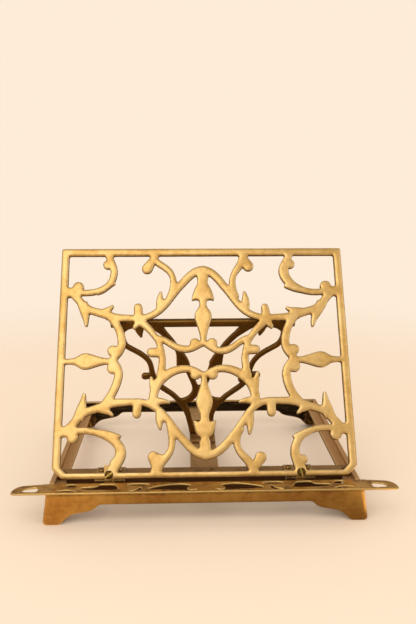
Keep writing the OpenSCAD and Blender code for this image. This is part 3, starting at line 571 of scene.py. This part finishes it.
def loose_solids(node, bed):
    """The points of each separate solid in a CAD node, as they lie on the bench."""
    bm = merged(node)
    bm.transform(bed.inverted())
    left = set(bm.verts)
    solids = []
    while left:
        solid = [left.pop()]
        for v in solid:
            near = {e.other_vert(v) for e in v.link_edges} & left
            left -= near
            solid += near
        solids.append(np.array([v.co for v in solid]))
    bm.free()
    return sorted(solids, key=lambda points: tuple(points.mean(0).round(4)))


def screw_size(points):
    """Where a screw's head sits, which way it looks, and the sizes of head and shank, off its solid."""
    low, high = points.min(0), points.max(0)
    k = int(np.argmax(high - low))
    middle = (low + high) / 2
    reach = np.linalg.norm(np.delete(points - middle, k, 1), axis=1)
    head = reach.max()
    of_head = points[reach > HEAD_RIM * head][:, k]
    up = 1 if of_head.mean() > middle[k] else -1
    seat = of_head.min() if up > 0 else of_head.max()
    end, top = (low[k], high[k])[::up]
    shank = reach[abs(points[:, k] - end) < SHANK_END].max()
    axis = Vector((0, 0, 0))
    axis[k] = up
    spot = Vector(middle)
    spot[k] = seat
    return spot, axis, 2 * head, abs(top - seat), 2 * shank, abs(seat - end)


def screws(name, node, body, bed=LEVEL_BED, finish=SCREW_FINISH):
    """All the screws of one kind, each on its solid's place with its slot at an angle of its own."""
    bm = bmesh.new()
    for count, points in enumerate(loose_solids(node, bed)):
        spot, axis, head, rise, shank, length = screw_size(points)
        one = slotted_screw(head, rise, shank, length)
        turn = Matrix.Rotation(math.radians(FIRST_TURN + NEXT_TURN * count), 4, "Z")
        stand = FACE_UP.rotation_difference(axis).to_matrix().to_4x4()
        one.transform(bed @ Matrix.Translation(spot) @ stand @ turn)
        part = as_mesh(one, name)
        bm.from_mesh(part)
        bpy.data.meshes.remove(part)
    for f in bm.faces:
        f.smooth = True
    piece = put_down(as_mesh(bm, name), name, finish, body, node)
    piece.data.set_sharp_from_angle(angle=CRISP_ANGLE)
    return piece


# Panel and strut

casting(
    "pierced_panel", "back_panel", PANEL_BED, PANEL_FINISH, "panel", "panel_brass",
    grain=0.84, crown=9, soft=1, full=0.18,
)
casting(
    "openwork_strut", "strut", STRUT_BED, STRUT_SHADED_FINISH, "strut", "strut_brass",
    grain=0.7, crown=2, soft=2, full=0.12,
)

# Base

# The front apron gets a painted shadow band just under the ledge
casting(
    "front_bracket_apron", "front_apron", FRONT_BED, BASE_FINISH, "base", "base_brass",
    grain=0.75, crown=2, soft=3, full=0.1, arris=2.4, painted_shadow_band=(23.6, 26.4),
)
casting(
    "rear_bracket_apron", "rear_apron", REAR_BED, REAR_SHADED_FINISH, "base", "base_brass",
    grain=0.75, crown=2, soft=3, full=0.1, arris=2.4, bright_top=True,
)
for side, bed in (("left", LEFT_BED), ("right", RIGHT_BED)):
    casting(
        side + "_base_rail", side + "_side_rail", bed, RAIL_FINISH, "base", "base_brass",
        grain=0.75, crown=1, soft=2, full=0.08,
    )
casting(
    "pierced_ledge", "book_ledge", LEVEL_BED, LEDGE_FINISH, "base", "ledge_brass",
    grain=0.6, crown=3, soft=2, full=0.1,
)
filed("base_corner_blocks", "corner_blocks", BAR_FINISH, "base", 0.5, FACE_UP)
filed("hinge_bar", "hinge_crossbar", BAR_FINISH, "base", 0.45, FACE_UP)
filed("tooth_bar", "toothed_rail", TOOTH_FINISH, "base", 0.3, FACE_UP)

# Hinges and lugs

for side in ("left", "right"):
    filed(side + "_bar_hinge_leaf", side + "_base_leaf", HINGE_FINISH, "base", 0.3, FACE_UP)
    filed(side + "_panel_hinge_leaf", side + "_panel_leaf", HINGE_FINISH, "panel", 0.35)
    filed(side + "_lug", side + "_strut_lug", STRUT_SHADED_FINISH, "panel", 0.4)
filed("hinge_wires", "hinge_pins", PIN_FINISH, "base", 0.4)
filed("strut_wires", "strut_pins", PIN_FINISH, "strut", 0.4)

# All the screws

screws("panel_slotted_screws", "panel_screws", "panel", PANEL_BED, FACE_SCREW_FINISH)
screws("crossbar_slotted_screws", "crossbar_screws", "base")
screws("leaf_slotted_screws", "leaf_screws", "base", finish=HINGE_FINISH)
screws("ledge_slotted_screws", "ledge_screws", "base")
screws("rail_slotted_screws", "rail_screws", "base")
screws("lug_slotted_screws", "lug_screws", "panel", PANEL_BED)
screws("corner_slotted_screws", "corner_screws", "base", finish=FACE_SCREW_FINISH)


# Floor, light and camera

# Colours of the backdrop, of the floor, and of the floor as the brass mirrors it
PALE = "#FEECD8"
FLOOR = "#F8EEE2"
MIRRORED = "#C8A880"

# The floor's radius, and from where to where it fades into the backdrop
FLOOR_RADIUS = 1.6
FADE = (0.3, 0.9)

# The stand's shade on the mirrored floor: its spread, where it clears, and the light in it and past it
SHADE_SPREAD = (6.6, 7.6, 1.0)
SHADE_CLEARS = (0.7, 1.25)
IN_SHADE = 0.42
PAST_SHADE = 0.5

# Brighter on the left, dimmer on the right, and one bright strip beyond the right feet
LEFT, LEFT_GAIN = (-0.05, -0.12), 0.55
RIGHT, RIGHT_LOSS = (0.02, 0.12), 0.3
STRIP_STARTS, STRIP_ENDS, STRIP_GAIN = (0.135, 0.16), (0.18, 0.23), 2.4

# The sky's strength for the camera, for mirrors and for all other light
SEEN_SKY = 1.0
MIRRORED_SKY = 0.53
LIGHTING_SKY = 0.9

# The middle of the stand, and the camera's place and turn, worked out from the photo's perspective
AIM = Vector((0, 0, 0.09))
CAMERA_PLACE = (-0.016, -0.6085, 0.280)
CAMERA_PITCH = math.radians(77.9)
CAMERA_YAW = math.radians(-1.96)


def mirrored_floor(f, place):
    """The floor as the brass mirrors it, darker and browner than the camera sees it."""
    side = f.node("ShaderNodeSeparateXYZ", None, {0: place}, "X")
    clear_of_stand = f.length(f.stretched(place, SHADE_SPREAD)).between(*SHADE_CLEARS)
    strip = side.between(*STRIP_STARTS) - side.between(*STRIP_ENDS)
    lit = clear_of_stand * PAST_SHADE + IN_SHADE
    lit = lit + side.between(*LEFT) * LEFT_GAIN - side.between(*RIGHT) * RIGHT_LOSS + strip * STRIP_GAIN
    return f.node("ShaderNodeEmission", None, {"Color": shade(MIRRORED), "Strength": lit})


def pale_floor():
    """A pale disc that takes the stand's shadow and fades into the backdrop."""
    f = Finish(bpy.data.materials.new("pale_floor"))
    place = f.place()
    matt = f.node("ShaderNodeBsdfDiffuse", None, {"Color": shade(FLOOR)})
    seen = f.either(f.length(place).between(*FADE), matt, f.node("ShaderNodeBsdfTransparent"))
    finish = f.close(f.either(f.ray("Is Glossy Ray"), seen, mirrored_floor(f, place)))
    bm = bmesh.new()
    bmesh.ops.create_circle(bm, cap_ends=True, segments=96, radius=FLOOR_RADIUS)
    mesh = as_mesh(bm, "floor")
    mesh.materials.append(finish)
    show("floor", mesh)


def studio_sky():
    """An even pale sky, dimmer in the brass than the camera sees it."""
    f = Finish(bpy.data.worlds.new("studio"), "ShaderNodeOutputWorld")

    def sky(strength):
        return f.node("ShaderNodeBackground", None, {"Color": shade(PALE), "Strength": strength})

    around = f.either(f.ray("Is Glossy Ray"), sky(LIGHTING_SKY), sky(MIRRORED_SKY))
    bpy.context.scene.world = f.close(f.either(f.ray("Is Camera Ray"), around, sky(SEEN_SKY)))


def soft_lamp(name, place, size, watts, tint):
    """A round lamp of that size that looks at the middle of the stand."""
    light = bpy.data.lights.new(name, "AREA")
    light.shape = "DISK"
    light.size = size
    light.energy = watts
    light.color = shade(tint)[:3]
    lamp = show(name, light)
    lamp.location = place
    lamp.rotation_euler = (Vector(place) - AIM).to_track_quat("Z", "Y").to_euler()


def photo_camera():
    """The camera at the reader's place."""
    lens = bpy.data.cameras.new("reader_view")
    lens.lens = 40
    lens.sensor_width = 36
    camera = show("reader_view", lens)
    camera.location = CAMERA_PLACE
    camera.rotation_euler = (CAMERA_PITCH, 0, CAMERA_YAW)
    bpy.context.scene.camera = camera


pale_floor()
studio_sky()
soft_lamp("key", (-0.48, -1.12, 1.3), size=1.5, watts=7.9, tint="#FFF6EA")
soft_lamp("fill", (1.3, -0.9, 1.1), size=1.2, watts=3, tint="#FFEFDE")
photo_camera()
bpy.context.scene.view_settings.view_transform = "Standard"
